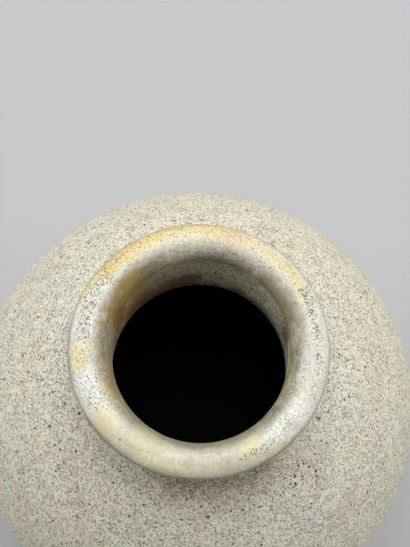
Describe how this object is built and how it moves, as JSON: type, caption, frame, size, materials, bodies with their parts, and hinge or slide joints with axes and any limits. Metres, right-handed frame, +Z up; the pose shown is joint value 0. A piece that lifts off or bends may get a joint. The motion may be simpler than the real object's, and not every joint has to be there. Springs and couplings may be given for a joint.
{
  "type": "stoneware vase",
  "caption": "Round-bodied stoneware vase with a wide shoulder, short neck, thick rolled lip, turned foot ring and speckled matte glaze.",
  "frame": {"origin": "on the vase's axis, in the plane that the foot ring stands on", "axes": "+Z up along the vase's axis; the vase is round, so +X and +Y are any two level directions square to each other"},
  "size_m": [0.14, 0.14, 0.1345],
  "materials": {
    "outer_glaze": "dry matte cream and grey glaze with dark iron specks, satin on the lip, with yellow iron stains round it",
    "inner_glaze": null,
    "bare_clay": "bare fired stoneware, turned, with grog and iron specks",
    "slip": "fired joining slip"
  },
  "bodies": {
    "root": {"foot_ring": "bare_clay", "foot_slip": "slip", "lower_body": "bare_clay", "belly_slip": "slip", "upper_body": "bare_clay", "neck_slip": "slip", "neck_collar": "bare_clay", "rim_slip": "slip", "rim_roll": "bare_clay", "outer_glaze": "outer_glaze", "inner_glaze": "inner_glaze"}
  },
  "joints": []
}
